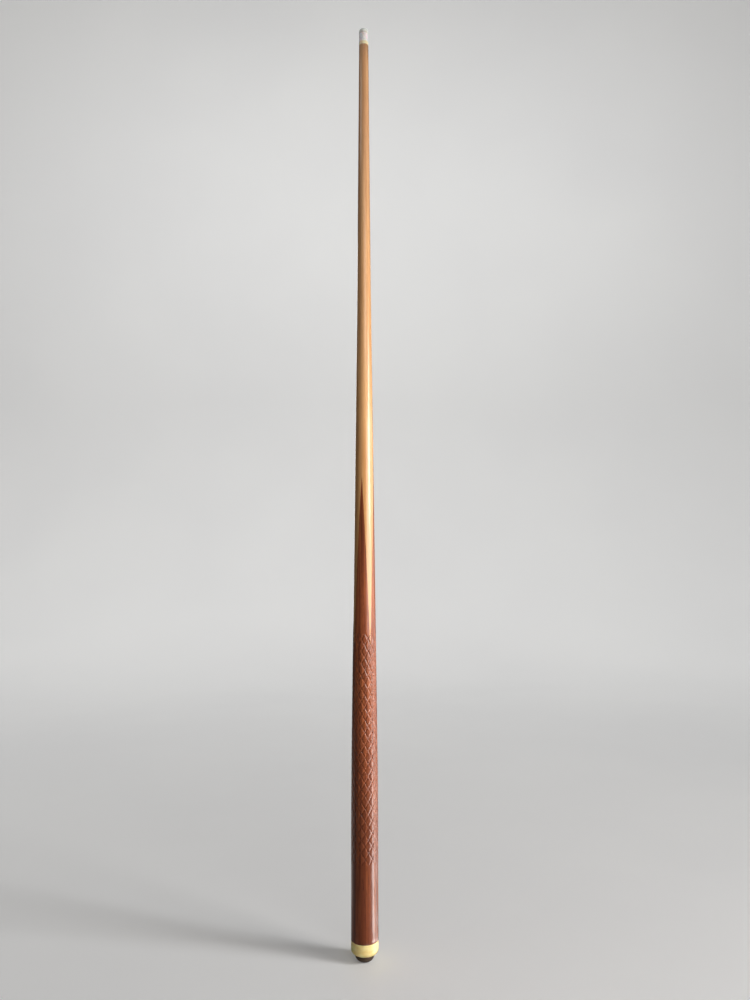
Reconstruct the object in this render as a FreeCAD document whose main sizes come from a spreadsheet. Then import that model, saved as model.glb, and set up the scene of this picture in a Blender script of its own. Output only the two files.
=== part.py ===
"""One-piece billiard cue, 42 inches long.

The cue stands along +Z with the centre of its foot at the origin. All sizes are in millimetres.
The pale shaft and the red-brown butt share one tapered outline. They meet in a four-point splice:
four V-shaped points of the butt rise into the shaft, and four thin webs of the shaft come down
between them. The foot holds an ivory-coloured cap, a rubber bumper with its screw, and a bore with
a dowel and a balance weight. The nose carries a ferrule, a pad and a domed tip.
"""

import FreeCAD
import Part
import math
import os
import re
import Sketcher

SIZES = [
    # alias, value, meaning
    ("cue_length", 1067.0, "foot to crown of the tip"),
    # bumper, from the floor up
    ("foot_radius", 5.5, "flat ring that stands on the floor"),
    ("foot_round", 5.4, "rounding from the foot to the bumper's side"),
    ("bumper_radius", 10.9, "side of the bumper"),
    ("bumper_seat", 10.2, "height of the bumper's shoulder, inside the cap"),
    ("stem_radius", 6.3, "stem that plugs the mouth of the bore"),
    ("stem_top", 21.0, "top of the stem"),
    ("well_radius", 4.4, "well for the screw's head"),
    ("well_top", 17.0, "top of the well"),
    # bumper screw and washer
    ("washer_radius", 4.0, "outside of the washer"),
    ("washer_thickness", 0.8, "thickness of the washer"),
    ("head_radius", 3.6, "side of the pan head"),
    ("head_height", 2.4, "height of the pan head"),
    ("head_round", 1.6, "rounding of the pan head"),
    ("shank_radius", 2.0, "outside of the screw's thread"),
    ("screw_length", 20.0, "length of the screw under its head"),
    ("point_length", 4.0, "length of the screw's conical point"),
    ("drive_length", 4.2, "length of each slot of the cross recess"),
    ("drive_width", 0.9, "width of each slot"),
    ("drive_depth", 1.2, "depth of the slots"),
    ("seat_gap", 0.05, "gap between seated faces"),
    ("screw_gap", 0.08, "radial gap round the screw"),
    # butt cap
    ("cap_bottom", 8.0, "lowest edge of the cap"),
    ("cap_top", 22.0, "top edge of the cap, where the wood starts"),
    ("cap_round", 4.15, "rounding of the cap's lower edge"),
    ("cap_edge", 0.3, "bevel of the cap's top edge"),
    ("cap_shelf", 12.2, "top of the cap's floor, where the butt's tenon ends"),
    # bore in the butt
    ("butt_tenon_radius", 9.0, "tenon of the butt inside the cap"),
    ("bore_radius", 6.35, "half-inch bore up the butt"),
    ("plug_length", 25.0, "hardwood dowel above the bumper's stem"),
    ("slug_radius", 6.25, "steel weight"),
    ("slug_length", 60.0, "length of the weight"),
    ("slug_bevel", 0.6, "bevel of the weight's ends"),
    # outline of the wood: a parallel handle, an arc, a long cone and a finer one
    ("end_radius", 15.15, "butt and cap"),
    ("parallel_top", 110.0, "end of the parallel stretch, where the arc starts"),
    ("taper_height", 250.0, "end of the arc, where the long cone starts"),
    ("taper_radius", 14.26, "butt where the long cone starts"),
    ("forearm_height", 750.0, "start of the finer cone"),
    ("forearm_radius", 7.91, "shaft where the finer cone starts"),
    ("nose_height", 1047.0, "end of the shaft's taper"),
    ("nose_radius", 5.5, "shaft, ferrule, pad and tip where they meet"),
    # splice
    ("splice_height", 340.0, "lower end of the splice"),
    ("points_height", 533.0, "upper end of the splice, where the dark points end"),
    ("point_turn", -105.0, "direction of the first dark point, degrees from +X"),
    ("web_start", 0.2, "distance of the keels from the axis at the lower end"),
    ("keel_overrun", 1.05, "how far the V-cuts run past the upper end, as a factor"),
    # nose
    ("shaft_tenon_radius", 4.0, "tenon of the shaft inside the ferrule"),
    ("shaft_tenon_length", 10.0, "length of the shaft's tenon"),
    ("ferrule_top", 1061.0, "top of the ferrule"),
    ("pad_thickness", 1.0, "thickness of the pad"),
    ("tip_crown", 2.3, "height of the tip's dome"),
]

POINT_COUNT = 4

document = FreeCAD.newDocument("billiard_cue")


def make_sheet():
    """The driving sizes, one row each: meaning, value and alias."""
    made = document.addObject("Spreadsheet::Sheet", "sizes")
    for row, (alias, size, meaning) in enumerate(SIZES, start=1):
        made.set(f"A{row}", meaning)
        made.set(f"B{row}", str(size))
        made.setAlias(f"B{row}", alias)
    document.recompute()
    return made


sheet = make_sheet()


def bound(formula):
    """The formula with every alias read from the sheet."""
    return re.sub(r"[a-z][a-z_]+", r"sizes.\g<0>", formula)


def number(formula):
    """What the formula comes to now, in millimetres."""
    return float(sheet.evalExpression(bound(formula)))


def origin_plane(body, role):
    """One of the body's own origin planes."""
    return next(item for item in body.Origin.OriginFeatures if item.Role == role)


def add_sketch(body, name, role):
    """An empty sketch on one of the body's origin planes."""
    sketch = body.newObject("Sketcher::SketchObject", name)
    sketch.AttachmentSupport = (origin_plane(body, role), "")
    sketch.MapMode = "FlatFace"
    return sketch


def bind_constraint(sketch, constraint, formula):
    """Adds a constraint whose size follows the formula."""
    index = sketch.addConstraint(constraint)
    sketch.setExpression(f"Constraints[{index}]", bound(formula))


def place_corner(sketch, edge, across, up):
    """Holds the first point of an edge at its distances from the sketch's two axes."""
    if number(across) == 0:
        sketch.addConstraint(Sketcher.Constraint("PointOnObject", edge, 1, -2))
    else:
        size = number(across)
        bind_constraint(sketch, Sketcher.Constraint("DistanceX", -1, 1, edge, 1, size), across)
    if number(up) == 0:
        sketch.addConstraint(Sketcher.Constraint("PointOnObject", edge, 1, -1))
    else:
        size = number(up)
        bind_constraint(sketch, Sketcher.Constraint("DistanceY", -1, 1, edge, 1, size), up)


def round_edge(first, last, radius):
    """An arc that turns left from first to last."""
    chord = last - first
    middle = first + chord * 0.5
    rise = math.sqrt(radius**2 - (chord.Length / 2) ** 2)
    left = FreeCAD.Vector(-chord.y, chord.x, 0).normalize()
    centre = middle + left * rise
    start = math.atan2(first.y - centre.y, first.x - centre.x)
    end = math.atan2(last.y - centre.y, last.x - centre.x)
    return Part.ArcOfCircle(Part.Circle(centre, FreeCAD.Vector(0, 0, 1), radius), start, end)


def draw_outline(sketch, corners):
    """A closed outline, drawn to the left, through corners given as formulas.

    A corner is (across, up), or (across, up, radius) where the edge that leaves it is an arc.
    """
    places = [FreeCAD.Vector(number(corner[0]), number(corner[1]), 0) for corner in corners]
    count = len(corners)
    for edge, corner in enumerate(corners):
        first = places[edge]
        last = places[(edge + 1) % count]
        if len(corner) == 3:
            sketch.addGeometry(round_edge(first, last, number(corner[2])))
        else:
            sketch.addGeometry(Part.LineSegment(first, last))
    for edge in range(count):
        following = (edge + 1) % count
        sketch.addConstraint(Sketcher.Constraint("Coincident", edge, 2, following, 1))
    for edge, corner in enumerate(corners):
        place_corner(sketch, edge, corner[0], corner[1])
        if len(corner) == 3:
            radius = number(corner[2])
            bind_constraint(sketch, Sketcher.Constraint("Radius", edge, radius), corner[2])


def turned_body(name, corners):
    """A round piece: half its outline, as radius and height, turned about the Z axis."""
    body = document.addObject("PartDesign::Body", name)
    sketch = add_sketch(body, f"{name}_outline", "XZ_Plane")
    draw_outline(sketch, corners)
    turn = body.newObject("PartDesign::Revolution", f"{name}_turning")
    turn.Profile = sketch
    turn.ReferenceAxis = (sketch, ["V_Axis"])
    turn.Angle = 360
    document.recompute()
    return body


def rod(name, radius, bottom, top):
    """A plain cylinder on the Z axis between two heights."""
    cylinder = document.addObject("Part::Cylinder", name)
    cylinder.setExpression("Radius", bound(radius))
    cylinder.setExpression("Height", bound(f"{top} - ({bottom})"))
    cylinder.setExpression("Placement.Base.z", bound(bottom))
    return cylinder


def make_blank():
    """The whole tapered stick, turned in one piece."""
    arc_rise = "(taper_height - parallel_top)"
    arc_drop = "(end_radius - taper_radius)"
    arc_radius = f"({arc_rise}^2 + {arc_drop}^2) / (2 * {arc_drop})"
    return turned_body(
        "blank",
        [
            ("0", "cap_top"),
            ("end_radius", "cap_top"),
            ("end_radius", "parallel_top", arc_radius),
            ("taper_radius", "taper_height"),
            ("forearm_radius", "forearm_height"),
            ("nose_radius", "nose_height"),
            ("0", "nose_height"),
        ],
    )


def make_point(index):
    """One V-shaped point: a right-angled triangle swept up along its sloping keel.

    The keel starts beside the axis at the lower end of the splice and reaches the surface at the
    upper end.
    """
    profile = document.addObject("Sketcher::SketchObject", f"point_profile_{index}")
    reach = "2 * end_radius"
    draw_outline(
        profile,
        [
            ("web_start", "0"),
            (reach, f"web_start - {reach}"),
            (reach, f"{reach} - web_start"),
        ],
    )
    turn = f"{bound('point_turn')} + {index * 360 / POINT_COUNT}"
    profile.setExpression("Placement.Base.z", bound("splice_height"))
    profile.setExpression("Placement.Rotation.Angle", turn)
    cone_slope = "(taper_radius - forearm_radius) / (forearm_height - taper_height)"
    surface = f"taper_radius - {cone_slope} * (points_height - taper_height)"
    run = bound(f"({surface} - web_start)")
    rise = bound("(points_height - splice_height)")
    point = document.addObject("Part::Extrusion", f"point_{index}")
    point.Base = profile
    point.DirMode = "Custom"
    point.Solid = True
    point.setExpression("Dir.x", f"cos(({turn}) * 1deg) * {run}")
    point.setExpression("Dir.y", f"sin(({turn}) * 1deg) * {run}")
    point.setExpression("Dir.z", rise)
    point.setExpression("LengthFwd", f"sqrt({run}^2 + {rise}^2) * {bound('keel_overrun')}")
    return point


def make_wood():
    """The shaft and the butt, cut from one outline along the faces of the splice."""
    blank = make_blank()
    core = rod("butt_core", "2 * end_radius", "0", "splice_height")
    butt_side = document.addObject("Part::MultiFuse", "butt_side")
    butt_side.Shapes = [core] + [make_point(index) for index in range(POINT_COUNT)]
    shaft_taper = document.addObject("Part::Cut", "shaft_taper")
    shaft_taper.Base = blank
    shaft_taper.Tool = butt_side
    butt_taper = document.addObject("Part::MultiCommon", "butt_taper")
    butt_taper.Shapes = [blank, butt_side]
    return shaft_taper, butt_taper


def make_shaft(shaft_taper):
    """The shaft's taper with the tenon that the ferrule is glued on."""
    tenon = rod("shaft_tenon", "shaft_tenon_radius", "nose_height - 1", "nose_height + shaft_tenon_length")
    shaft = document.addObject("Part::MultiFuse", "shaft")
    shaft.Shapes = [shaft_taper, tenon]
    return shaft


def make_butt(butt_taper):
    """The butt's taper with the tenon that the cap is glued on, and its bore."""
    tenon = rod("butt_tenon", "butt_tenon_radius", "cap_shelf", "cap_top + 1")
    wood = document.addObject("Part::MultiFuse", "butt_wood")
    wood.Shapes = [butt_taper, tenon]
    bore = rod("butt_bore", "bore_radius", "cap_shelf - 1", "stem_top + plug_length + slug_length")
    butt = document.addObject("Part::Cut", "butt")
    butt.Base = wood
    butt.Tool = bore
    return butt


def make_butt_cap():
    """A ring cap over the butt's tenon, rounded below, with a recess for the bumper."""
    recess = "bumper_radius + seat_gap"
    return turned_body(
        "butt_cap",
        [
            (recess, "cap_bottom"),
            ("end_radius - cap_round", "cap_bottom", "cap_round"),
            ("end_radius", "cap_bottom + cap_round"),
            ("end_radius", "cap_top - cap_edge"),
            ("end_radius - cap_edge", "cap_top"),
            ("butt_tenon_radius", "cap_top"),
            ("butt_tenon_radius", "cap_shelf"),
            ("bore_radius", "cap_shelf"),
            ("bore_radius", "bumper_seat"),
            (recess, "bumper_seat"),
        ],
    )


def make_bumper():
    """A rubber foot with a stem for the bore and a well for its screw."""
    hole = "shank_radius + screw_gap"
    return turned_body(
        "bumper",
        [
            ("well_radius", "0"),
            ("foot_radius", "0", "foot_round"),
            ("bumper_radius", "foot_round"),
            ("bumper_radius", "bumper_seat"),
            ("stem_radius", "bumper_seat"),
            ("stem_radius", "stem_top"),
            (hole, "stem_top"),
            (hole, "well_top"),
            ("well_radius", "well_top"),
        ],
    )


def make_bumper_washer():
    """The washer between the screw's head and the top of the well."""
    hole = "shank_radius + screw_gap"
    top = "well_top - seat_gap"
    bottom = f"{top} - washer_thickness"
    return turned_body(
        "bumper_washer",
        [(hole, bottom), ("washer_radius", bottom), ("washer_radius", top), (hole, top)],
    )


def make_bumper_screw():
    """A pan-head wood screw with a cross recess, head down."""
    under_head = "well_top - 2 * seat_gap - washer_thickness"
    bottom = f"{under_head} - head_height"
    end = f"{under_head} + screw_length"
    body = turned_body(
        "bumper_screw",
        [
            ("0", bottom),
            ("head_radius - head_round", bottom, "head_round"),
            ("head_radius", f"{bottom} + head_round"),
            ("head_radius", under_head),
            ("shank_radius", under_head),
            ("shank_radius", f"{end} - point_length"),
            ("0", end),
        ],
    )
    before = body.Shape.Volume
    slot = add_sketch(body, "drive_outline", "XY_Plane")
    slot.setExpression("AttachmentOffset.Base.z", bound(bottom))
    half_length = "drive_length / 2"
    half_width = "drive_width / 2"
    draw_outline(
        slot,
        [
            (f"-{half_length}", f"-{half_width}"),
            (half_length, f"-{half_width}"),
            (half_length, half_width),
            (f"-{half_length}", half_width),
        ],
    )
    cut = body.newObject("PartDesign::Pocket", "drive_slot")
    cut.Profile = slot
    cut.Reversed = True
    cut.setExpression("Length", bound("drive_depth"))
    document.recompute()
    pattern = body.newObject("PartDesign::PolarPattern", "drive_cross")
    pattern.Originals = [cut]
    pattern.Axis = (slot, ["N_Axis"])
    pattern.Angle = 180
    pattern.Occurrences = 2
    body.Tip = pattern
    document.recompute()
    if body.Shape.Volume >= before:
        raise RuntimeError("the cross recess cuts nothing")
    return body


def make_bore_plug():
    """The hardwood dowel that the screw bites into, with its pilot hole."""
    top = "stem_top + plug_length"
    pilot = "shank_radius + screw_gap"
    screw_end = "well_top - 2 * seat_gap - washer_thickness + screw_length"
    return turned_body(
        "bore_plug",
        [
            (pilot, "stem_top"),
            ("bore_radius", "stem_top"),
            ("bore_radius", top),
            ("0", top),
            ("0", f"{screw_end} + 4 * screw_gap"),
            (pilot, f"{screw_end} - point_length + 2 * screw_gap"),
        ],
    )


def make_weight_slug():
    """The steel weight at the top of the bore."""
    bottom = "stem_top + plug_length"
    top = f"{bottom} + slug_length"
    return turned_body(
        "weight_slug",
        [
            ("0", bottom),
            ("slug_radius - slug_bevel", bottom),
            ("slug_radius", f"{bottom} + slug_bevel"),
            ("slug_radius", f"{top} - slug_bevel"),
            ("slug_radius - slug_bevel", top),
            ("0", top),
        ],
    )


def make_ferrule():
    """A white sleeve over the shaft's tenon, closed at the top."""
    tenon_top = "nose_height + shaft_tenon_length"
    return turned_body(
        "ferrule",
        [
            ("shaft_tenon_radius", "nose_height"),
            ("nose_radius", "nose_height"),
            ("nose_radius", "ferrule_top"),
            ("0", "ferrule_top"),
            ("0", tenon_top),
            ("shaft_tenon_radius", tenon_top),
        ],
    )


def make_tip_pad():
    """A thin fibre disc between the ferrule and the tip."""
    top = "ferrule_top + pad_thickness"
    return turned_body(
        "tip_pad",
        [("0", "ferrule_top"), ("nose_radius", "ferrule_top"), ("nose_radius", top), ("0", top)],
    )


def make_cue_tip():
    """The leather tip: a short cylinder with a dome."""
    bottom = "ferrule_top + pad_thickness"
    dome_radius = "(nose_radius^2 + tip_crown^2) / (2 * tip_crown)"
    return turned_body(
        "cue_tip",
        [
            ("0", bottom),
            ("nose_radius", bottom),
            ("nose_radius", "cue_length - tip_crown", dome_radius),
            ("0", "cue_length"),
        ],
    )


def check_document():
    """Stops if any object of the document failed to compute."""
    for item in document.Objects:
        if "Invalid" in item.State or "Error" in item.State:
            raise RuntimeError(f"{item.Name} failed: {item.State}")


def write_parts(parts):
    """Writes each sub-part to its own file, named after its label."""
    os.makedirs("parts", exist_ok=True)
    for part in parts:
        shape = part.Shape
        if shape.isNull() or not shape.isValid() or len(shape.Solids) != 1:
            raise RuntimeError(f"{part.Label} is not one valid solid")
        box = shape.BoundBox
        print(f"{part.Label}: {shape.Volume:.0f} mm3, z {box.ZMin:.2f} to {box.ZMax:.2f}")
    for part in parts:
        part.Shape.exportStep(f"parts/{part.Label}.step")


def main():
    shaft_taper, butt_taper = make_wood()
    parts = [
        make_cue_tip(),
        make_tip_pad(),
        make_ferrule(),
        make_shaft(shaft_taper),
        make_butt(butt_taper),
        make_weight_slug(),
        make_bore_plug(),
        make_butt_cap(),
        make_bumper(),
        make_bumper_washer(),
        make_bumper_screw(),
    ]
    document.recompute()
    check_document()
    write_parts(parts)


main()
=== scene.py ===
"""Looks of the one-piece billiard cue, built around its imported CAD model.

The cue stands on its foot along +Z, in metres. The two woods with the grip's relief, the nose,
the cap and the bumper with its screw and washer are new meshes that stand for their CAD nodes.
The dowel and the weight in the bore stay as the CAD made them and only get their materials.
"""

import math

import bmesh
import bpy
import numpy as np
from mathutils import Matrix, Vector


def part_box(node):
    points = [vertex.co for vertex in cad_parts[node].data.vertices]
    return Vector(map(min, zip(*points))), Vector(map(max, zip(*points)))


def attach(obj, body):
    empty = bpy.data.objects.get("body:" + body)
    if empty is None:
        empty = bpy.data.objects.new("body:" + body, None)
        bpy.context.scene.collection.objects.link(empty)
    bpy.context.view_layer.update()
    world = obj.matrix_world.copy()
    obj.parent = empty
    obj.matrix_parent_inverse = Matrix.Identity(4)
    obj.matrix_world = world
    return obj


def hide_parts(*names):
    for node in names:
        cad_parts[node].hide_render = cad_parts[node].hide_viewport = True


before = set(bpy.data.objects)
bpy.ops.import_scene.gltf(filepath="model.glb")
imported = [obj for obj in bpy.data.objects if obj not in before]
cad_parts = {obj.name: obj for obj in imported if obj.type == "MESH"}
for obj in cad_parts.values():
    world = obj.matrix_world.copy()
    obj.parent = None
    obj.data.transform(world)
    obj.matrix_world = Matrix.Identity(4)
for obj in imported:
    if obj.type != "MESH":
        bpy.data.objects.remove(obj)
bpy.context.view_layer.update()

TURN = 2 * math.pi
ON_AXIS = 1e-7

# heights, read from the CAD
CAP_LOW, CAP_TOP = (corner.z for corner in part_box("butt_cap"))
SPLICE_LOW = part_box("shaft")[0].z
SPLICE_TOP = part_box("butt")[1].z
TENON_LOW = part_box("butt")[0].z
BORE_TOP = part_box("weight_slug")[1].z
NOSE, FERRULE_TOP = (corner.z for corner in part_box("ferrule"))
NOSE_TENON_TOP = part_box("shaft")[1].z
PAD_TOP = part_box("tip_pad")[1].z
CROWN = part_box("cue_tip")[1].z
STEM_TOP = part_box("bumper")[1].z
WASHER_LOW, WASHER_TOP = (corner.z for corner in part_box("bumper_washer"))
HEAD_LOW, SCREW_END = (corner.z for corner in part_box("bumper_screw"))

# outline of the wood, as the CAD turns it
END_RADIUS = 0.01515
PARALLEL_TOP = 0.110
TAPER_HEIGHT = 0.250
TAPER_RADIUS = 0.01426
FOREARM_HEIGHT = 0.750
FOREARM_RADIUS = 0.00791
NOSE_RADIUS = 0.0055
EDGE = 0.00015

# what fits inside what, as in the CAD
NOSE_TENON_RADIUS = 0.004
BUTT_TENON_RADIUS = 0.009
BORE_RADIUS = 0.00635
CAP_RECESS_RADIUS = 0.01095
BUMPER_SEAT = 0.0102
SCREW_HOLE_RADIUS = 0.00208

# splice: four points of the butt in the shaft, turned as in the CAD
POINT_TURN = math.radians(-105)
POINT_COUNT = 4

# relief of the grip: two crossing families of grooves
GRIP_LOW = 0.1056
GRIP_STARTS = 11
GRIP_PITCH = 0.0136
GRIP_DIAMONDS = 18.5
GRIP_HIGH = GRIP_LOW + GRIP_DIAMONDS * GRIP_PITCH
GROOVE_DEPTH = 0.00063
GROOVE_HALF_WIDTH = 0.00145
END_RUN = 1 / 8  # share of a pitch in which the relief reaches its depth at each end
UNEVENNESS = 0.14

# mesh of the two woods: rows and columns that follow the relief, and coarser ones elsewhere
CELLS = 16
ROW_STEP = GRIP_PITCH / CELLS
BUTT_COLUMNS = GRIP_STARTS * CELLS
WEB_COLUMNS = 24
HANDLE_ROWS = 16
SPLICE_ROWS = 30
MIDDLE_ROWS = 14
FOREARM_ROWS = 16
WOOD_CREASE_DEGREES = 50


# ---------------------------------------------------------------- mesh helpers


def add_mesh(name, points, faces, sharp_degrees=35):
    """A smooth-shaded mesh object with its creases kept sharp."""
    mesh = bpy.data.meshes.new(name)
    mesh.from_pydata([tuple(point) for point in points], [], [tuple(face) for face in faces])
    mesh.validate()
    mesh.shade_smooth()
    mesh.set_sharp_from_angle(angle=math.radians(sharp_degrees))
    piece = bpy.data.objects.new(name, mesh)
    bpy.context.scene.collection.objects.link(piece)
    return piece


def stand_for(piece, body, node, material):
    """The piece rides on a body, stands for a CAD node and takes its finish."""
    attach(piece, body)
    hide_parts(node)
    piece.data.materials.clear()
    piece.data.materials.append(material)


def ring(radii, angles, height):
    """Points round the axis at one height."""
    radii = np.broadcast_to(radii, angles.shape)
    heights = np.full(angles.shape, height)
    return np.stack([radii * np.cos(angles), radii * np.sin(angles), heights], 1)


def round_corners(outline, radius, steps=4):
    """The outline with every corner cut back and rounded, its two ends kept."""
    most = 0.45  # share of a side that one corner may take
    rounded = [outline[0]]
    for before, corner, after in zip(outline, outline[1:], outline[2:]):
        before, corner, after = Vector(before), Vector(corner), Vector(after)
        reach = min(radius, (before - corner).length * most, (after - corner).length * most)
        first = corner + (before - corner).normalized() * reach
        last = corner + (after - corner).normalized() * reach
        for step in range(steps + 1):
            share = step / steps
            low = first.lerp(corner, share)
            high = corner.lerp(last, share)
            rounded.append(tuple(low.lerp(high, share)))
    rounded.append(outline[-1])
    return rounded


def arc(centre, radius, start_degrees, end_degrees, steps):
    """Outline points on an arc, in the plane of radius and height."""
    return [
        (
            centre[0] + radius * math.cos(math.radians(angle)),
            centre[1] + radius * math.sin(math.radians(angle)),
        )
        for angle in np.linspace(start_degrees, end_degrees, steps + 1)
    ]


def turned(name, outline, columns=96, closed=False):
    """A mesh turned about the axis from an outline of (radius, height).

    An open outline starts and ends on the axis. A closed one makes a ring with a hole.
    """
    angles = np.arange(columns) * TURN / columns
    points = []
    rows = []
    for radius, height in outline:
        if radius < ON_AXIS:
            rows.append([len(points)] * columns)
            points.append((0, 0, height))
        else:
            rows.append(list(range(len(points), len(points) + columns)))
            points.extend(ring(radius, angles, height))
    pairs = list(zip(rows, rows[1:]))
    if closed:
        pairs.append((rows[-1], rows[0]))
    faces = []
    for low, high in pairs:
        for column in range(columns):
            following = (column + 1) % columns
            corners = [low[column], low[following], high[following], high[column]]
            faces.append(list(dict.fromkeys(corners)))
    return add_mesh(name, points, faces)


# ---------------------------------------------------------------- the two woods


def outline_radius(height):
    """Radius of the tapered stick: a parallel handle, an arc, a long cone and a finer one."""
    rise = TAPER_HEIGHT - PARALLEL_TOP
    drop = END_RADIUS - TAPER_RADIUS
    arc_radius = (rise**2 + drop**2) / (2 * drop)
    up = np.clip(height - PARALLEL_TOP, 0, rise)
    on_arc = END_RADIUS - arc_radius + np.sqrt(arc_radius**2 - up**2)
    heights = [TAPER_HEIGHT, FOREARM_HEIGHT, NOSE]
    on_cones = np.interp(height, heights, [TAPER_RADIUS, FOREARM_RADIUS, NOSE_RADIUS])
    return np.where(height < TAPER_HEIGHT, on_arc, on_cones)


def groove(phase, spacing):
    """Depth of one family of grooves, from 0 to 1: a soft V, deepest at every whole phase."""
    softness = 0.6
    distance = np.abs(phase - np.round(phase)) * spacing
    rise = np.clip(1 - distance / GROOVE_HALF_WIDTH, 0, 1)
    return rise * rise * (1 + softness - softness * rise)


def relief(angles, height):
    """Depth of the grip's pressed diamonds, a little uneven as on the real cue."""
    along = (height - GRIP_LOW) / GRIP_PITCH
    if not 0 < along < GRIP_DIAMONDS:
        return np.zeros_like(angles)
    around = (angles - POINT_TURN) * GRIP_STARTS / TURN
    radius = outline_radius(height)
    spacing = 1 / math.hypot(GRIP_STARTS / (TURN * radius), 1 / GRIP_PITCH)
    depth = np.maximum(groove(around + along, spacing), groove(around - along, spacing))
    end_fade = min(1, along / END_RUN, (GRIP_DIAMONDS - along) / END_RUN)
    waves = np.sin(3 * angles + 61 * height) * np.sin(2 * angles - 143 * height)
    uneven = 1 - UNEVENNESS + UNEVENNESS * waves
    return GROOVE_DEPTH * depth * uneven * end_fade


def wood_ring(angles, height):
    """Points of the wood's surface at one height, with the grip's relief."""
    return ring(outline_radius(height) - relief(angles, height), angles, height)


def keel_distance(height):
    """Distance of a splice cut's keel from the axis: 0 at its low end, the radius at its top."""
    share = (height - SPLICE_LOW) / (SPLICE_TOP - SPLICE_LOW)
    return outline_radius(SPLICE_TOP) * min(1, max(0, share))


def half_point(height):
    """Half the angle that one dark point takes up on the surface."""
    share = keel_distance(height) / (outline_radius(height) * math.sqrt(2))
    return max(0.0, math.acos(min(1.0, float(share))) - math.pi / 4)


def splice_heights():
    """Heights of the rows across the splice, close together where the grip's relief reaches."""
    apart = 0.3 * ROW_STEP
    first = int((SPLICE_LOW - GRIP_LOW) / ROW_STEP) + 1
    last = int(GRIP_DIAMONDS * CELLS)
    fine = GRIP_LOW + ROW_STEP * np.arange(first, last + 1)
    coarse = np.linspace(GRIP_HIGH, SPLICE_TOP, SPLICE_ROWS)[1:-1]
    return list(fine[fine > SPLICE_LOW + apart]) + list(coarse)


def point_angles(height, columns):
    """Column angles across one point, from its middle: even in the middle, squeezed at the edges.

    Over the grip the columns stay on the relief's own grid, and above it they spread evenly.
    """
    kept = math.radians(36)  # nearer to the middle than this, columns stay on the relief's grid
    change_over = 0.004
    even = np.linspace(-1, 1, columns + 1)
    half = half_point(height)
    plain = even * half
    if half < kept:
        return plain
    steady = even * math.pi / 4
    scale = (half - kept) / (math.pi / 4 - kept)
    edge = np.sign(steady) * (kept + (np.abs(steady) - kept) * scale)
    squeezed = np.where(np.abs(steady) > kept, edge, steady)
    blend = min(1, max(0, (height - GRIP_HIGH) / change_over))
    return plain * blend + squeezed * (1 - blend)


class Grid:
    """Points and faces of one wood while it is put together."""

    def __init__(self):
        self.points = []
        self.faces = []

    def row(self, places):
        """Adds points and returns their numbers."""
        start = len(self.points)
        self.points.extend(tuple(place) for place in places)
        return list(range(start, len(self.points)))

    def band(self, low, high, closed=False, relief_row=None):
        """Faces between two rows. In a row of the relief, quads are split along its grooves."""
        count = len(low) if closed else len(low) - 1
        for column in range(count):
            following = (column + 1) % len(low)
            corners = [low[column], low[following], high[following], high[column]]
            distinct = list(dict.fromkeys(corners))
            if len(distinct) < 3:
                continue
            if relief_row is None or len(distinct) == 3:
                self.faces.append(distinct)
            elif falls_with_groove(relief_row, column):
                self.faces.extend([[corners[0], corners[1], corners[3]], corners[1:]])
            else:
                self.faces.extend([corners[:3], [corners[0], corners[2], corners[3]]])

    def stack(self, below, rings):
        """Joins rings of points, each to the one before, and returns the numbers of the last."""
        for places in rings:
            above = self.row(places)
            self.band(below, above, closed=True)
            below = above
        return below

    def fan(self, centre, row, upward):
        """Closes a ring of points with triangles to one centre."""
        for column, point in enumerate(row):
            following = row[(column + 1) % len(row)]
            side = [point, following] if upward else [following, point]
            self.faces.append([centre, *side])


def falls_with_groove(row, column):
    """True where the falling diagonal follows a groove better than the rising one."""
    falling = (row + column + 1 + CELLS // 2) % CELLS - CELLS // 2
    rising = (row - column + CELLS // 2) % CELLS - CELLS // 2
    return abs(falling) < abs(rising)


def keel_point(index, height):
    """Where the keel of one splice cut is at a height."""
    angle = POINT_TURN + index * TURN / POINT_COUNT
    reach = keel_distance(height)
    return (reach * math.cos(angle), reach * math.sin(angle), height)


def add_butt_foot(grid, angles):
    """The bore and the tenon for the cap. Returns the points of the shoulder above the cap."""
    bore_end = grid.row([(0, 0, BORE_TOP)])[0]
    below = grid.row(ring(BORE_RADIUS, angles, BORE_TOP))
    grid.fan(bore_end, below, upward=False)
    profile = [
        (BORE_RADIUS, TENON_LOW),
        (BUTT_TENON_RADIUS, TENON_LOW),
        (BUTT_TENON_RADIUS, CAP_TOP),
        (END_RADIUS - EDGE, CAP_TOP),
    ]
    return grid.stack(below, [ring(radius, angles, height) for radius, height in profile])


def add_handle(grid, angles, below):
    """The round handle, up to where the splice starts. Returns the points of its last row."""
    plain = np.linspace(CAP_TOP + EDGE, GRIP_LOW - ROW_STEP, HANDLE_ROWS)
    below = grid.stack(below, [wood_ring(angles, height) for height in plain])
    last = int((SPLICE_LOW - GRIP_LOW) / ROW_STEP)
    for number in range(last + 1):
        height = SPLICE_LOW if number == last else GRIP_LOW + number * ROW_STEP
        above = grid.row(wood_ring(angles, height))
        grid.band(below, above, closed=True, relief_row=number - 1)
        below = above
    return below


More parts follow.
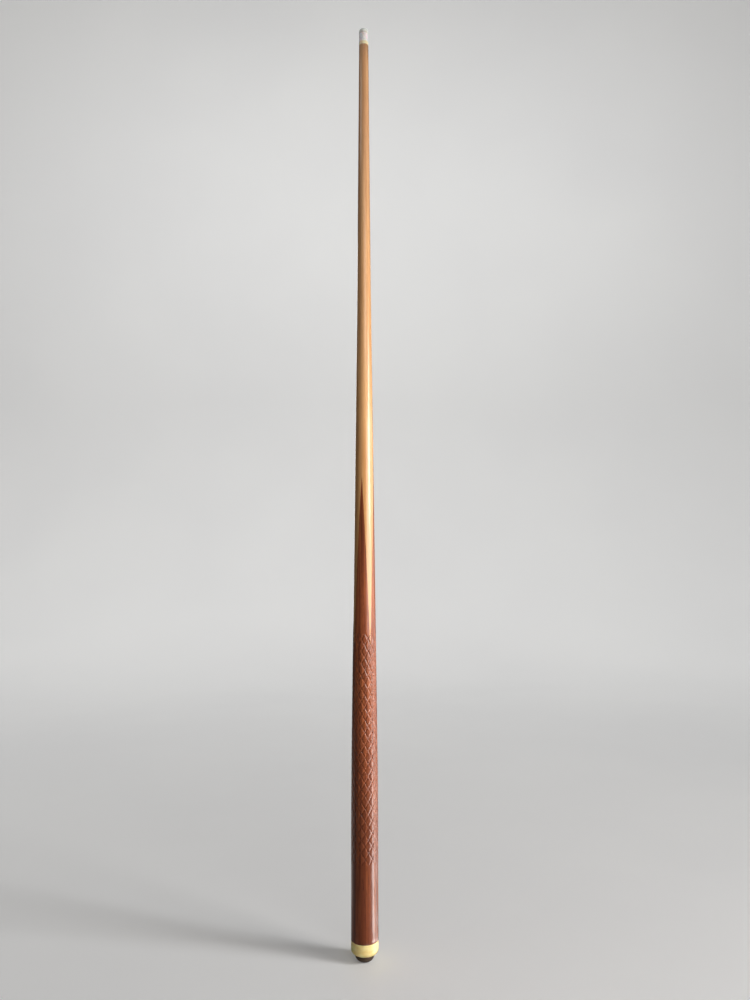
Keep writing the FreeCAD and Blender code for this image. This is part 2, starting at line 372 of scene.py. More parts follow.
def add_point(grid, index, handle_top, axis):
    """One dark point of the splice, from the handle's last row up to its tip."""
    columns = BUTT_COLUMNS // POINT_COUNT
    middle = POINT_TURN + index * TURN / POINT_COUNT
    numbers = range(index * columns, (index + 1) * columns + 1)
    low = [handle_top[number % BUTT_COLUMNS] for number in numbers]
    keel = axis
    for height in splice_heights():
        number = round((height - GRIP_LOW) / ROW_STEP)
        high = grid.row(wood_ring(middle + point_angles(height, columns), height))
        in_grip = height < GRIP_HIGH + ROW_STEP / 2
        grid.band(low, high, relief_row=number - 1 if in_grip else None)
        keel_above = grid.row([keel_point(index, height)])[0]
        grid.band([keel, low[0]], [keel_above, high[0]])
        grid.band([low[-1], keel], [high[-1], keel_above])
        low = high
        keel = keel_above
    tip = grid.row([keel_point(index, SPLICE_TOP)])[0]
    grid.band(low, [tip] * len(low))
    grid.faces.append([keel, low[0], tip])
    grid.faces.append([low[-1], keel, tip])


def make_butt():
    """The red-brown butt: bore, tenon, handle with its relief, and the four dark points."""
    grid = Grid()
    angles = POINT_TURN - math.pi / 4 + np.arange(BUTT_COLUMNS) * TURN / BUTT_COLUMNS
    shoulder = add_butt_foot(grid, angles)
    handle_top = add_handle(grid, angles, shoulder)
    axis = grid.row([(0, 0, SPLICE_LOW)])[0]
    for index in range(POINT_COUNT):
        add_point(grid, index, handle_top, axis)
    return add_mesh("butt_wood", grid.points, grid.faces, WOOD_CREASE_DEGREES)


def add_web(grid, index, keels, tips):
    """One light web of the shaft between two dark points. Returns the points of its top row."""
    following = (index + 1) % POINT_COUNT
    middle = POINT_TURN + (index + 0.5) * TURN / POINT_COUNT
    foot = grid.row(wood_ring(np.array([middle]), SPLICE_LOW))[0]
    low = [foot] * (WEB_COLUMNS + 1)
    for number, height in enumerate([*splice_heights(), SPLICE_TOP]):
        half = math.pi / 4 - half_point(height)
        spread = middle + half * np.linspace(-1, 1, WEB_COLUMNS + 1)
        if height == SPLICE_TOP:
            inner = grid.row(wood_ring(spread[1:-1], height))
            high = [tips[index], *inner, tips[following]]
        else:
            high = grid.row(wood_ring(spread, height))
        grid.band(low, high)
        grid.band([keels[index][number], low[0]], [keels[index][number + 1], high[0]])
        grid.band([low[-1], keels[following][number]], [high[-1], keels[following][number + 1]])
        low = high
    return low


def add_taper(grid, below):
    """The round shaft above the splice and its tenon in the ferrule, closed at the top."""
    columns = WEB_COLUMNS * POINT_COUNT
    angles = POINT_TURN + np.arange(columns) * TURN / columns
    heights = [
        *np.linspace(SPLICE_TOP, FOREARM_HEIGHT, MIDDLE_ROWS)[1:],
        *np.linspace(FOREARM_HEIGHT, NOSE - EDGE, FOREARM_ROWS)[1:],
    ]
    nose = [
        (NOSE_RADIUS - EDGE, NOSE),
        (NOSE_TENON_RADIUS, NOSE),
        (NOSE_TENON_RADIUS, NOSE_TENON_TOP),
    ]
    below = grid.stack(below, [wood_ring(angles, height) for height in heights])
    below = grid.stack(below, [ring(radius, angles, height) for radius, height in nose])
    end = grid.row([(0, 0, NOSE_TENON_TOP)])[0]
    grid.fan(end, below, upward=True)


def make_shaft():
    """The pale shaft: four webs that run down between the points, then the taper and tenon."""
    grid = Grid()
    axis = grid.row([(0, 0, SPLICE_LOW)])[0]
    tips = [grid.row([keel_point(index, SPLICE_TOP)])[0] for index in range(POINT_COUNT)]
    keels = []
    for index in range(POINT_COUNT):
        inner = [grid.row([keel_point(index, height)])[0] for height in splice_heights()]
        keels.append([axis, *inner, tips[index]])
    top_ring = []
    for index in range(POINT_COUNT):
        web_top = add_web(grid, index, keels, tips)
        top_ring += web_top[:-1]
    add_taper(grid, top_ring)
    return add_mesh("shaft_wood", grid.points, grid.faces, WOOD_CREASE_DEGREES)


# ---------------------------------------------------------------- nose


def make_ferrule():
    """The white sleeve, with its two edges just broken."""
    edge = 0.0002
    socket = [(0.0, NOSE_TENON_TOP), (NOSE_TENON_RADIUS, NOSE_TENON_TOP)]
    outside = [
        (NOSE_TENON_RADIUS, NOSE),
        (NOSE_RADIUS, NOSE),
        (NOSE_RADIUS, FERRULE_TOP),
        (0.0, FERRULE_TOP),
    ]
    return turned("ferrule_sleeve", socket + round_corners(outside, edge))


def make_pad():
    """The thin fibre disc under the tip, flush with the ferrule, with soft edges."""
    edge = 0.00025
    outline = [
        (0.0, FERRULE_TOP),
        (NOSE_RADIUS, FERRULE_TOP),
        (NOSE_RADIUS, PAD_TOP),
        (0.0, PAD_TOP),
    ]
    return turned("fibre_pad", round_corners(outline, edge))


def make_tip():
    """The leather tip: dressed sides, a rounded shoulder and a crown that isn't quite even."""
    side = NOSE_RADIUS - 0.0001
    shoulder = PAD_TOP + 0.0032
    dome = CROWN - shoulder
    dome_steps = 14
    squareness = 0.6
    even_below = PAD_TOP + 0.0006
    unevenness = 0.006
    second_wave = 0.6
    outline = [
        (0.0, PAD_TOP),
        (side - 0.0002, PAD_TOP),
        (side, PAD_TOP + 0.0004),
        (side + 0.00012, PAD_TOP + 0.0020),
    ]
    for step in range(dome_steps + 1):
        angle = math.pi / 2 * step / dome_steps
        reach = side * math.cos(angle) ** squareness
        outline.append((reach, shoulder + dome * math.sin(angle)))
    piece = turned("leather_tip", outline, columns=72)
    for vertex in piece.data.vertices:
        place = vertex.co
        if place.z > even_below:
            angle = math.atan2(place.y, place.x)
            wobble = math.sin(3 * angle + 900 * place.z)
            wobble += second_wave * math.sin(7 * angle - 400 * place.z)
            place.xy *= 1 - unevenness * (1 + wobble / (1 + second_wave))
    return piece


# ---------------------------------------------------------------- foot


def make_cap():
    """The ivory cap ring, rounded below, with its recess for the bumper."""
    cap_round = 0.00415
    edge = 0.0003
    mouth_taper = 0.00003
    outline = [(CAP_RECESS_RADIUS + mouth_taper, CAP_LOW)]
    outline += arc((END_RADIUS - cap_round, CAP_LOW + cap_round), cap_round, -90, 0, steps=14)
    outline += arc((END_RADIUS - edge, CAP_TOP - edge), edge, 0, 90, steps=5)
    outline += [
        (BUTT_TENON_RADIUS, CAP_TOP),
        (BUTT_TENON_RADIUS, TENON_LOW),
        (BORE_RADIUS, TENON_LOW),
        (BORE_RADIUS, BUMPER_SEAT),
        (CAP_RECESS_RADIUS, BUMPER_SEAT),
        (CAP_RECESS_RADIUS, CAP_LOW + edge),
    ]
    return turned("butt_cap_ring", outline, columns=128, closed=True)


def make_bumper():
    """The rubber bumper: a domed foot with a lip round the screw's well."""
    foot_radius = 0.0050
    dome = 0.0072
    side = 0.0109
    stem = 0.0063
    well = 0.0044
    well_top = 0.017
    lip = 0.0003
    dome_steps = 20
    outline = [(well + lip, 0.0), (foot_radius, 0.0)]
    for angle in np.linspace(0, math.pi / 2, dome_steps + 1)[1:]:
        radius = foot_radius + (side - foot_radius) * math.sin(angle)
        outline.append((radius, dome * (1 - math.cos(angle))))
    outline += [
        (side, BUMPER_SEAT),
        (stem, BUMPER_SEAT),
        (stem, STEM_TOP),
        (SCREW_HOLE_RADIUS, STEM_TOP),
        (SCREW_HOLE_RADIUS, well_top),
        (well, well_top),
        (well, lip),
        (well + 0.3 * lip, 0.3 * lip),
    ]
    return turned("rubber_bumper", outline, columns=128, closed=True)


def make_washer():
    """The stamped steel washer, its lower edges broken and its upper ones sharp."""
    outside = 0.004
    edge = 0.00018
    outline = [
        (SCREW_HOLE_RADIUS, WASHER_LOW + edge),
        (SCREW_HOLE_RADIUS + edge, WASHER_LOW),
        (outside - edge, WASHER_LOW),
        (outside, WASHER_LOW + edge),
        (outside, WASHER_TOP),
        (SCREW_HOLE_RADIUS, WASHER_TOP),
    ]
    return turned("stamped_washer", outline, columns=72, closed=True)


def thread_radius(angle, height, low, high):
    """Radius of the screw under its head: a plain neck, a coarse thread and a cone at the end."""
    outside = 0.002
    root = 0.00145
    pitch = 0.0018
    flank_width = 0.3
    neck = 0.0019
    neck_length = 0.003
    run_in = 0.001
    point = 0.004
    hold = 1.6  # how much later than the core the thread fades out in the point
    phase = height / pitch - angle / TURN
    crest = abs(phase - round(phase))
    flank = max(0.0, 1 - crest / flank_width)
    start = min(1.0, max(0.0, (height - low - neck_length) / run_in))
    taper = min(1.0, max(0.0, (high - height) / point))
    threaded = root * taper + (outside - root) * flank * min(1.0, taper * hold)
    return neck * (1 - start) + threaded * start


def make_screw():
    """The pan-head wood screw, head down, with a right-hand thread and a cross recess."""
    head_radius = 0.0036
    head_round = 0.0016
    under_head = HEAD_LOW + 0.0024
    fillet_radius = 0.0021
    columns = 48
    rows = 134
    grid = Grid()
    angles = np.arange(columns) * TURN / columns
    centre = grid.row([(0, 0, HEAD_LOW)])[0]
    flat = grid.row(ring(head_radius - head_round, angles, HEAD_LOW))
    grid.fan(centre, flat, upward=False)
    head_centre = (head_radius - head_round, HEAD_LOW + head_round)
    head = arc(head_centre, head_round, -90, 0, steps=8)[1:]
    head += [(head_radius, under_head), (fillet_radius, under_head)]
    below = grid.stack(flat, [ring(radius, angles, height) for radius, height in head])
    shank = []
    for height in np.linspace(under_head, SCREW_END, rows)[1:-1]:
        radii = [thread_radius(angle, height, under_head, SCREW_END) for angle in angles]
        shank.append(ring(radii, angles, height))
    below = grid.stack(below, shank)
    end = grid.row([(0, 0, SCREW_END)])[0]
    grid.fan(end, below, upward=True)
    screw = add_mesh("threaded_screw", grid.points, grid.faces)
    cut_recess(screw)
    return screw


def cut_recess(screw):
    """Cuts the cross recess into the screw's head, narrowing with depth."""
    mouth = (-0.0004, 0.0023, 0.00052)  # depth, half length, half width
    bottom = (0.0013, 0.0011, 0.0003)
    sides = [(0, 1, 5, 4), (1, 2, 6, 5), (2, 3, 7, 6), (3, 0, 4, 7)]
    cross = bmesh.new()
    for turned_round in (False, True):
        corners = []
        for depth, length, width in (mouth, bottom):
            for across, along in [(-1, -1), (1, -1), (1, 1), (-1, 1)]:
                place = Vector((length * across, width * along, HEAD_LOW + depth))
                if turned_round:
                    place.xy = (-place.y, place.x)
                corners.append(cross.verts.new(place))
        for face in [(3, 2, 1, 0), (4, 5, 6, 7), *sides]:
            cross.faces.new([corners[corner] for corner in face])
    mesh = bpy.data.meshes.new("recess_cutter")
    cross.to_mesh(mesh)
    cross.free()
    cutter = bpy.data.objects.new("recess_cutter", mesh)
    bpy.context.scene.collection.objects.link(cutter)
    cut = screw.modifiers.new("recess", "BOOLEAN")
    cut.operation = "DIFFERENCE"
    cut.solver = "EXACT"
    cut.use_self = True
    cut.object = cutter
    graph = bpy.context.evaluated_depsgraph_get()
    finished = bpy.data.meshes.new_from_object(screw.evaluated_get(graph))
    screw.modifiers.clear()
    screw.data = finished
    finished.shade_smooth()
    finished.set_sharp_from_angle(angle=math.radians(35))
    bpy.data.objects.remove(cutter)


# ---------------------------------------------------------------- materials


class Surface:
    """A node material while it is put together, with its shader and the object's coordinates."""

    def __init__(self, name):
        self.material = bpy.data.materials.new(name)
        self.material.use_nodes = True
        self.tree = self.material.node_tree
        self.shader = self.tree.nodes["Principled BSDF"]
        self.place = self.node("ShaderNodeTexCoord").outputs["Object"]

    def node(self, kind, sockets=None, **settings):
        """A node with its settings, and its sockets set to a value or linked to an output."""
        made = self.tree.nodes.new(kind)
        for key, value in settings.items():
            setattr(made, key, value)
        for key, value in (sockets or {}).items():
            self.put(made.inputs[key], value)
        return made

    def put(self, socket, value):
        """Sets a socket, or links it if the value is another node's output."""
        if isinstance(value, bpy.types.NodeSocket):
            self.tree.links.new(value, socket)
        else:
            socket.default_value = value

    def noise(self, scale, detail, roughness=0.5, distortion=0.0, across=1.0, along=1.0):
        """Smooth noise from 0 to 1, its coordinates scaled across and along the cue."""
        place = self.place
        if (across, along) != (1.0, 1.0):
            stretch = {"Vector": self.place, "Scale": (across, across, along)}
            place = self.node("ShaderNodeMapping", stretch).outputs["Vector"]
        sockets = {
            "Vector": place,
            "Scale": scale,
            "Detail": detail,
            "Roughness": roughness,
            "Distortion": distortion,
        }
        return self.node("ShaderNodeTexNoise", sockets).outputs["Fac"]

    def ramp(self, value, low, high, start=0.0, end=1.0):
        """The value taken from low..high to start..end, and held there outside."""
        sockets = {
            "Value": value,
            "From Min": low,
            "From Max": high,
            "To Min": start,
            "To Max": end,
        }
        return self.node("ShaderNodeMapRange", sockets).outputs["Result"]

    def math(self, operation, first, second):
        """The result of a sum, product or other operation."""
        made = self.node("ShaderNodeMath", {0: first, 1: second}, operation=operation)
        return made.outputs[0]

    def mix(self, share, first, second):
        """Two colours mixed by share: all first at 0, all second at 1."""
        # sockets by number, because the node repeats their names for each type of data
        made = self.node("ShaderNodeMix", {0: share, 6: first, 7: second}, data_type="RGBA")
        return made.outputs[2]

    def bump(self, height, strength, distance):
        """A bumped normal."""
        sockets = {"Height": height, "Strength": strength, "Distance": distance}
        return self.node("ShaderNodeBump", sockets).outputs["Normal"]

    def coordinate(self, axis):
        """One of the object's coordinates. Z is the height above the floor."""
        return self.node("ShaderNodeSeparateXYZ", {"Vector": self.place}).outputs[axis]

    def finish(self, **sockets):
        """Sets or links the shader's sockets, with _ for a space in their names."""
        for key, value in sockets.items():
            self.put(self.shader.inputs[key.replace("_", " ")], value)
        return self.material


def colour(red, green, blue):
    """A display colour, 0 to 255, as linear light."""
    shares = [value / 255 for value in (red, green, blue)]
    linear = [c / 12.92 if c <= 0.04045 else ((c + 0.055) / 1.055) ** 2.4 for c in shares]
    return (*linear, 1.0)


def shaft_material():
    """Honey-stained maple under lacquer: bands, fibres and flecks, a painted shade that darkens
    it low down, pinker high up.
    """
    s = Surface("maple_honey_lacquer")
    bands = s.noise(scale=420.0, detail=2.0, roughness=0.45, distortion=0.6, along=0.012)
    fibres = s.noise(scale=2400.0, detail=3.0, roughness=0.6, along=0.008)
    flecks = s.noise(scale=3300.0, detail=2.0, roughness=0.6, along=0.045)
    clouds = s.noise(scale=24.0, detail=2.0, along=0.25)
    # painted shade: the maple is darkened below the upper shaft, most at and under the splice
    painted_shade_low = s.ramp(s.coordinate("Z"), 0.42, 0.95, start=0.85, end=0.0)
    high_up = s.ramp(s.coordinate("Z"), 0.55, 0.95, end=0.5)
    wood = s.mix(s.ramp(bands, 0.38, 0.62), colour(196, 145, 92), colour(228, 184, 130))
    wood = s.mix(painted_shade_low, wood, colour(164, 118, 70))
    wood = s.mix(high_up, wood, colour(192, 148, 122))
    wood = s.mix(s.ramp(clouds, 0.35, 0.7, end=0.3), wood, colour(212, 156, 96))
    wood = s.mix(s.ramp(fibres, 0.45, 0.72, end=0.55), wood, colour(160, 112, 68))
    wood = s.mix(s.ramp(flecks, 0.64, 0.74, end=0.55), wood, colour(128, 84, 48))
    roughness = s.ramp(s.noise(scale=90.0, detail=4.0, along=0.3), 0.3, 0.7, start=0.26, end=0.42)
    coat_waves = s.noise(scale=130.0, detail=2.0, along=0.15)
    return s.finish(
        Base_Color=wood,
        Roughness=roughness,
        Normal=s.bump(fibres, strength=0.12, distance=0.0004),
        Specular_IOR_Level=0.2,
        Coat_Weight=0.75,
        Coat_Roughness=0.16,
        Coat_Normal=s.bump(coat_waves, strength=0.05, distance=0.0006),
    )


def butt_material():
    """Red-brown hardwood with dark growth bands and long open pores, under lacquer as well, and a
    painted shade low down.
    """
    s = Surface("red_hardwood_lacquer")
    bands = s.noise(scale=330.0, detail=3.0, roughness=0.55, distortion=0.9, along=0.014)
    fibres = s.noise(scale=2200.0, detail=3.0, roughness=0.6, along=0.010)
    pores = s.noise(scale=2300.0, detail=2.0, roughness=0.5, along=0.035)
    clouds = s.noise(scale=30.0, detail=2.0, along=0.3)
    # painted shade: the wood is darkened towards the foot, below 0.3 m
    painted_shade_low = s.ramp(s.coordinate("Z"), 0.10, 0.30, start=0.4, end=0.0)
    wood = s.mix(s.ramp(bands, 0.36, 0.62), colour(90, 44, 26), colour(156, 88, 50))
    wood = s.mix(s.ramp(clouds, 0.35, 0.7, end=0.4), wood, colour(144, 72, 44))
    wood = s.mix(painted_shade_low, wood, colour(84, 36, 22))
    wood = s.mix(s.ramp(fibres, 0.44, 0.7, end=0.65), wood, colour(92, 40, 22))
    pore_share = s.ramp(pores, 0.60, 0.68)
    wood = s.mix(s.math("MULTIPLY", pore_share, 0.8), wood, colour(50, 20, 14))
    roughness = s.ramp(s.noise(scale=90.0, detail=4.0, along=0.3), 0.3, 0.7, start=0.28, end=0.46)
    coat_waves = s.noise(scale=130.0, detail=2.0, along=0.15)
    return s.finish(
        Base_Color=wood,
        Roughness=roughness,
        Normal=s.bump(s.math("SUBTRACT", fibres, pore_share), strength=0.2, distance=0.0004),
        Specular_IOR_Level=0.2,
        Coat_Weight=0.8,
        Coat_IOR=1.4,
        Coat_Roughness=0.18,
        Coat_Normal=s.bump(coat_waves, strength=0.06, distance=0.0006),
    )


def ferrule_material():
    """White plastic, yellowed by lacquer where it meets the wood."""
    s = Surface("ferrule_plastic")
    clouds = s.noise(scale=600.0, detail=3.0)
    white = s.mix(s.ramp(clouds, 0.35, 0.7), colour(238, 234, 234), colour(220, 215, 217))
    rim = s.math("ADD", s.coordinate("Z"), s.ramp(clouds, 0.0, 1.0, start=-0.0006, end=0.0006))
    stain = s.ramp(rim, NOSE + 0.0030, NOSE + 0.0045, start=0.85, end=0.0)
    white = s.mix(stain, white, colour(232, 216, 168))
    scratches = s.noise(scale=900.0, detail=3.0, along=6.0)
    dirt = s.ramp(s.noise(scale=1400.0, detail=4.0, along=2.0), 0.62, 0.75, end=0.35)
    white = s.mix(dirt, white, colour(150, 140, 132))
    return s.finish(
        Base_Color=white,
        Roughness=s.ramp(scratches, 0.3, 0.7, start=0.24, end=0.42),
        Normal=s.bump(scratches, strength=0.08, distance=0.0002),
        Subsurface_Weight=0.3,
        Subsurface_Scale=0.003,
        Specular_IOR_Level=0.5,
    )


def pad_material():
    """Pale grey vulcanised fibre in thin layers."""
    s = Surface("vulcanised_fibre")
    layers = s.noise(scale=2600.0, detail=2.0, across=0.15, along=6.0)
    tone = s.mix(s.ramp(layers, 0.4, 0.6), colour(186, 184, 178), colour(208, 206, 200))
    return s.finish(
        Base_Color=tone,
        Roughness=s.ramp(layers, 0.3, 0.7, start=0.5, end=0.7),
        Normal=s.bump(layers, strength=0.3, distance=0.0002),
    )


def tip_material():
    """Pale pressed leather, its crown whitish with chalk."""
    s = Surface("chalked_leather")
    fibres = s.noise(scale=2400.0, detail=5.0, roughness=0.65)
    patches = s.noise(scale=700.0, detail=3.0)
    layers = s.noise(scale=1500.0, detail=2.0, across=0.2, along=5.0)
    leather = s.mix(s.ramp(layers, 0.35, 0.65), colour(206, 202, 194), colour(222, 219, 212))
    chalk = s.mix(s.ramp(fibres, 0.35, 0.65), colour(206, 216, 212), colour(226, 231, 228))
    cover = s.math("ADD", s.coordinate("Z"), s.ramp(patches, 0.2, 0.8, start=-0.0015, end=0.0015))
    chalked = s.ramp(cover, PAD_TOP + 0.0008, PAD_TOP + 0.0026, start=0.25, end=0.95)
    tone = s.mix(chalked, leather, chalk)
    return s.finish(
        Base_Color=tone,
        Roughness=s.ramp(fibres, 0.3, 0.7, start=0.78, end=0.95),
        Normal=s.bump(fibres, strength=0.6, distance=0.0003),
    )


def cap_material():
    """Ivory plastic: slightly cloudy, scuffed low down where it meets the floor and walls."""
    s = Surface("ivory_plastic")
    clouds = s.noise(scale=170.0, detail=3.0, along=1.6)
    swirls = s.noise(scale=420.0, detail=4.0, roughness=0.6, distortion=1.2, along=3.0)
    tone = s.mix(s.ramp(clouds, 0.35, 0.68), colour(242, 224, 158), colour(232, 208, 136))
    tone = s.mix(s.ramp(swirls, 0.5, 0.75, end=0.3), tone, colour(244, 230, 178))
    scuffs = s.noise(scale=1500.0, detail=4.0, roughness=0.6, along=5.0)
    low_edge = s.ramp(s.coordinate("Z"), CAP_LOW, CAP_LOW + 0.005, start=1.0, end=0.0)
    grime = s.math("MULTIPLY", s.ramp(scuffs, 0.48, 0.7), low_edge)
    tone = s.mix(s.math("MULTIPLY", grime, 0.7), tone, colour(108, 92, 62))
    return s.finish(
        Base_Color=tone,
        Roughness=s.ramp(scuffs, 0.3, 0.7, start=0.3, end=0.5),
        Normal=s.bump(scuffs, strength=0.06, distance=0.0003),
        Subsurface_Weight=0.2,
        Subsurface_Scale=0.004,
        Specular_IOR_Level=0.3,
    )


def rubber_material():
    """Black-brown moulded rubber, dusty and rubbed on its dome."""
    s = Surface("black_rubber")
    grain = s.noise(scale=3800.0, detail=3.0, roughness=0.6)
    dust = s.noise(scale=520.0, detail=5.0, roughness=0.65)
    tone = s.mix(s.ramp(dust, 0.45, 0.75, end=0.6), colour(70, 54, 40), colour(116, 100, 82))
    rubbed = s.ramp(s.coordinate("Z"), 0.0, 0.0016, start=0.55, end=0.0)
    rubbed = s.math("MULTIPLY", rubbed, s.ramp(grain, 0.35, 0.65))
    tone = s.mix(rubbed, tone, colour(120, 110, 100))
    return s.finish(
        Base_Color=tone,
        Roughness=s.ramp(grain, 0.3, 0.7, start=0.55, end=0.8),
        Normal=s.bump(grain, strength=0.35, distance=0.0002),
        Specular_IOR_Level=0.4,
    )


def steel_material(name, tint, rust):
    """Plated or plain steel with fine scratches and a little rust."""
    s = Surface(name)
    scratches = s.noise(scale=2200.0, detail=3.0, along=8.0)
    spots = s.noise(scale=900.0, detail=5.0, roughness=0.65)
    share = s.ramp(spots, 0.62, 0.74, 0.0, rust)
    tone = s.mix(s.ramp(scratches, 0.35, 0.65), tint, colour(150, 150, 150))
    tone = s.mix(share, tone, colour(112, 62, 34))
    return s.finish(
        Base_Color=tone,
        Metallic=s.math("SUBTRACT", 1.0, share),
        Roughness=s.ramp(scratches, 0.3, 0.7, start=0.25, end=0.45),
        Normal=s.bump(scratches, strength=0.12, distance=0.0001),
    )


def dowel_material():
    """Plain unfinished hardwood of the dowel in the bore."""
    s = Surface("dowel_hardwood")
    fibres = s.noise(scale=1500.0, detail=4.0, roughness=0.6, along=0.04)
    tone = s.mix(s.ramp(fibres, 0.35, 0.68), colour(206, 172, 124), colour(164, 122, 78))
    return s.finish(
        Base_Color=tone,
        Roughness=s.ramp(fibres, 0.3, 0.7, start=0.6, end=0.8),
        Normal=s.bump(fibres, strength=0.3, distance=0.0003),
    )


# ---------------------------------------------------------------- stage


def floor_material():
    """Pale and matt, an aid of the stage: it glows a little, and from below it is clear.

    The camera sees more glow further away. Reflections see it only near and behind the cue, and a
    dark floor elsewhere, so that the floor doesn't brighten the cue's lacquer.
    """
    s = Surface("pale_floor")
    patches = s.noise(scale=1.5, detail=4.0)
    tone = s.mix(s.ramp(patches, 0.3, 0.7), colour(222, 223, 224), colour(229, 230, 230))
    distance = s.node("ShaderNodeVectorMath", {0: s.place}, operation="LENGTH").outputs["Value"]
    path = s.node("ShaderNodeLightPath").outputs
    behind = s.ramp(s.coordinate("Y"), -0.05, 0.15)
    nearby = s.math("MULTIPLY", behind, s.ramp(distance, 0.3, 1.2, start=1.0, end=0.0))
    mirrored = s.math("MULTIPLY", path["Is Glossy Ray"], nearby)
    hidden = s.math("SUBTRACT", path["Is Glossy Ray"], mirrored)
    tone = s.mix(s.math("MULTIPLY", hidden, 0.85), tone, colour(60, 60, 60))
    seen = s.math("MAXIMUM", path["Is Camera Ray"], mirrored)
    glow = s.ramp(distance, 0.0, 2.5, start=0.14, end=0.27)
    s.finish(
        Base_Color=tone,
        Roughness=s.ramp(distance, 0.0, 1.5, start=0.4, end=0.8),
        Specular_IOR_Level=0.1,
        Emission_Color=(1.0, 0.98, 0.95, 1.0),
        Emission_Strength=s.math("MULTIPLY", glow, seen),
    )
    from_below = s.node("ShaderNodeNewGeometry").outputs["Backfacing"]
    pale = s.shader.outputs["BSDF"]
    clear = s.node("ShaderNodeBsdfTransparent").outputs["BSDF"]
    both = s.node("ShaderNodeMixShader", {0: from_below, 1: pale, 2: clear})
    s.put(s.tree.nodes["Material Output"].inputs["Surface"], both.outputs["Shader"])
    return s.material


def make_stage():
    """The floor, which sweeps up into a backdrop."""
    half = 6.0
    back = 3.0
    bend = 1.2
    top = 5.0
    low = -0.0001
    profile = [(-half, low), (back - bend, low)]
    for angle in np.linspace(0, math.pi / 2, 16)[1:]:
        forward = back - bend + bend * math.sin(angle)
        profile.append((forward, low + bend - bend * math.cos(angle)))
    profile.append((back, top))
    points = [(x, y, z) for y, z in profile for x in (-half, half)]
    faces = [(2 * k, 2 * k + 1, 2 * k + 3, 2 * k + 2) for k in range(len(profile) - 1)]
    floor = add_mesh("floor", points, faces)
    floor.data.materials.append(floor_material())
    return floor


# ---------------------------------------------------------------- lights

KEY_AZIMUTH = math.radians(74)
EDGE_AZIMUTH = math.radians(104)

# name, place, target, width, height, watts, tint and spread in degrees
LAMPS = [
    ("key", (1.21, -0.59, 0.82), (0, 0, 0.50), 0.45, 0.5, 4.2, (1.0, 0.95, 0.91), 120),
    ("side", (1.36, -0.34, 0.40), (0, 0, 0.36), 0.6, 0.75, 2.2, (1.0, 0.97, 0.93), 180),
    ("near", (0.57, -0.43, 0.50), (0, 0, 0.40), 0.8, 0.5, 3.3, (1.0, 0.94, 0.90), 110),
    ("behind", (-0.55, 1.4, 0.8), (0, 0, 0.5), 0.4, 1.2, 5.0, (1.0, 0.97, 0.94), 180),
    ("upper", (0.42, -1.15, 1.20), (0, 0, 0.95), 0.8, 0.4, 3.2, (1.0, 0.97, 0.95), 180),
    ("backdrop", (0, 1.1, 2.6), (0, 3.0, 1.6), 3.5, 0.6, 20, (1.0, 1.0, 1.0), 180),
    ("left", (-0.28, -0.12, 1.15), (0, 0, 1.05), 0.15, 0.15, 0.17, (1.0, 0.97, 0.95), 180),
    ("rim", (1.13, 0.41, 0.42), (0, 0, 0.42), 0.8, 0.85, 4.7, (1.0, 0.96, 0.96), 180),
    ("gloss", (1.33, -0.23, 0.92), (0, 0, 0.65), 0.7, 0.3, 2.2, (1.0, 0.96, 0.96), 180),
    ("top", (0, 0, 2.3), (0, 0, 1.1), 0.3, 0.3, 3.5, (1.0, 0.99, 0.97), 180),
    ("under", (0.15, -0.2, -0.7), (0, 0, 0.01), 0.3, 0.3, 0.6, (1.0, 0.98, 0.96), 180),
]
SEEN_IN_GLOSS_ONLY = ("rim", "gloss")
KEPT_OFF_FLOOR = ("side", "near", "behind", "left", "top", "under", "rim", "gloss")

# azimuth, width per distance from the cue, radiance, and whether the fan lights matt surfaces too
LOW_FANS = [(KEY_AZIMUTH, 0.3, 12.5, True), (EDGE_AZIMUTH, 0.5, 2.5, False)]
# where each strip of a fan starts and ends, as distances from the cue
LOW_STRIPS = [(0.03, 0.08), (0.08, 0.2), (0.2, 0.5), (0.5, 1.2)]


def add_light(name, place, target, width, height, power, tint, spread=180):
    """A soft rectangular light that looks at a target and fans out by spread degrees."""
    light = bpy.data.lights.new(name, "AREA")
    light.shape = "RECTANGLE"
    light.size = width
    light.size_y = height
    light.energy = power
    light.color = tint
    light.spread = math.radians(spread)
    lamp = bpy.data.objects.new(name, light)
    lamp.location = place
    lamp.rotation_euler = (Vector(target) - Vector(place)).to_track_quat("-Z", "Y").to_euler()
    lamp.visible_camera = False
    bpy.context.scene.collection.objects.link(lamp)
    return lamp


def add_sun(floor):
    """A soft sun that shines on the floor alone, for the cue's shadow there."""
    light = bpy.data.lights.new("sun", "SUN")
    light.energy = 1.1
    light.angle = math.radians(12)
    sun = bpy.data.objects.new("sun", light)
    sun.rotation_euler = (math.radians(55), 0, KEY_AZIMUTH)
    bpy.context.scene.collection.objects.link(sun)
    floor_only = bpy.data.collections.new("lit")
    floor_only.objects.link(floor)
    sun.light_linking.receiver_collection = floor_only


def add_low_strips():
    """Fans of strips just over the floor that light the cue low down, as a glossy floor would.

    The strips nearest to the cue only show as reflections, because they would bleach the cap.
    """
    above_floor = 0.003
    bleaching = 0.05
    tint = (1.0, 0.97, 0.93)
    for azimuth, spread, radiance, lights_matt in LOW_FANS:
        for start, end in LOW_STRIPS:
            length = end - start
            middle = (start + end) / 2
            width = spread * middle
            power = radiance * math.pi * length * width
            place = (middle * math.sin(azimuth), -middle * math.cos(azimuth), above_floor)
            overhead = (*place[:2], 1.0)
            strip = add_light("low", place, overhead, length, width, power, tint)
            strip.rotation_euler.z = azimuth - math.pi / 2
            strip.visible_diffuse = lights_matt and start > bleaching


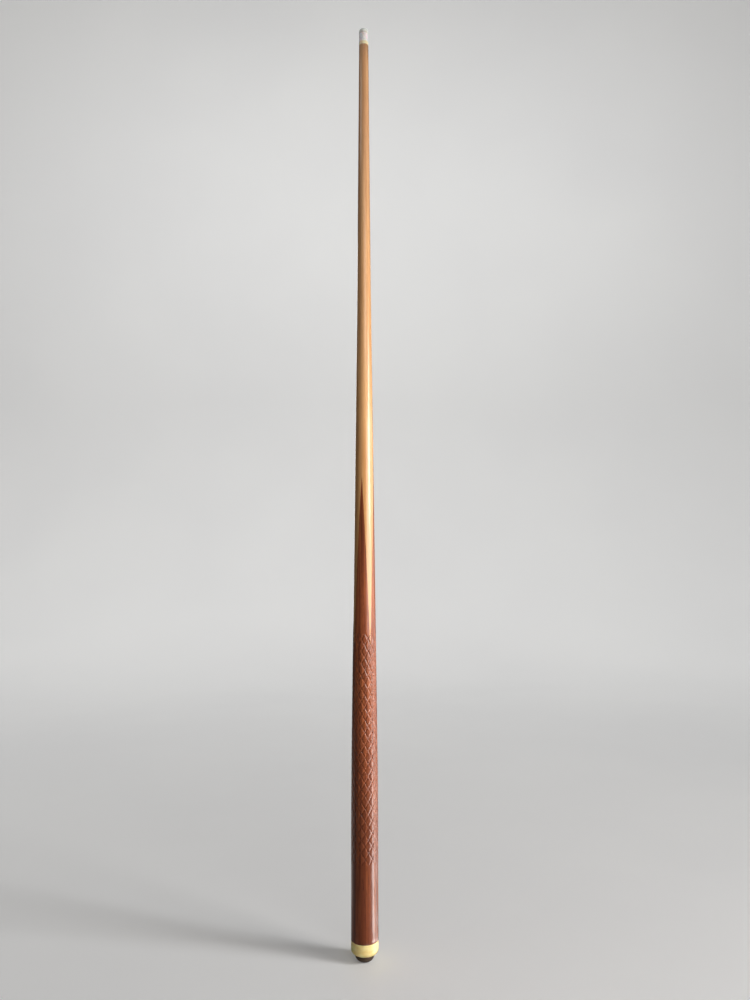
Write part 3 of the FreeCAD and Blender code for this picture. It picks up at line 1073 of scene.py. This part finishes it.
def make_world():
    """An even pale world: bright where the camera sees it, faint as a light."""
    world = bpy.data.worlds.new("studio")
    world.use_nodes = True
    tree = world.node_tree
    background = tree.nodes["Background"]
    background.inputs["Color"].default_value = (1.0, 0.98, 0.96, 1)
    seen = tree.nodes.new("ShaderNodeLightPath").outputs["Is Camera Ray"]
    strength = tree.nodes.new("ShaderNodeMapRange")
    strength.inputs["To Min"].default_value = 0.05
    strength.inputs["To Max"].default_value = 0.6
    tree.links.new(seen, strength.inputs["Value"])
    tree.links.new(strength.outputs["Result"], background.inputs["Strength"])
    bpy.context.scene.world = world


def make_lights(floor):
    """Soft studio light, mostly from the right, with the floor kept even and the shadow soft."""
    lamps = {settings[0]: add_light(*settings) for settings in LAMPS}
    for name in SEEN_IN_GLOSS_ONLY:
        lamps[name].visible_diffuse = False
    add_sun(floor)
    all_but_floor = bpy.data.collections.new("unlit")
    all_but_floor.objects.link(floor)
    all_but_floor.collection_objects[0].light_linking.link_state = "EXCLUDE"
    for name in KEPT_OFF_FLOOR:
        lamps[name].light_linking.receiver_collection = all_but_floor
    # the floor doesn't block the light that comes from under it
    lamps["under"].light_linking.blocker_collection = all_but_floor
    add_low_strips()
    make_world()


# ---------------------------------------------------------------- camera and scene


def make_camera():
    """A camera at the photograph's angle: low and close, looking slightly up the cue."""
    pitch = math.radians(90 + 3.73)
    roll = math.radians(0.12)
    pan = math.radians(-0.8)
    camera = bpy.data.cameras.new("camera")
    camera.lens = 27.5
    camera.clip_start = 0.01
    seat = bpy.data.objects.new("camera", camera)
    seat.location = (0, -0.8711, 0.4495)
    seat.rotation_euler = (pitch, roll, pan)
    bpy.context.scene.collection.objects.link(seat)
    bpy.context.scene.camera = seat


def paint(node, material):
    """Gives a CAD node its material."""
    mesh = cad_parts[node].data
    mesh.materials.clear()
    mesh.materials.append(material)


def clear_scene():
    """Removes what the empty file starts with, and keeps the frame."""
    for name in ("Cube", "Light", "Camera"):
        if name in bpy.data.objects:
            bpy.data.objects.remove(bpy.data.objects[name])


def main():
    """Builds the looks round the frame, with its stage, lights and camera."""
    clear_scene()
    bpy.context.scene.view_settings.view_transform = "Standard"

    red_wood = butt_material()
    maple = shaft_material()
    zinc = steel_material("zinc_plate", colour(196, 194, 184), 0.25)
    stand_for(make_butt(), "cue", "butt", red_wood)
    stand_for(make_shaft(), "cue", "shaft", maple)
    stand_for(make_ferrule(), "cue", "ferrule", ferrule_material())
    stand_for(make_pad(), "cue", "tip_pad", pad_material())
    stand_for(make_tip(), "cue", "cue_tip", tip_material())
    stand_for(make_cap(), "cue", "butt_cap", cap_material())
    stand_for(make_bumper(), "cue", "bumper", rubber_material())
    stand_for(make_washer(), "washer", "bumper_washer", zinc)
    stand_for(make_screw(), "screw", "bumper_screw", zinc)
    paint("bore_plug", dowel_material())
    paint("weight_slug", steel_material("plain_steel_bar", colour(120, 122, 126), 0.6))

    make_lights(make_stage())
    make_camera()


main()
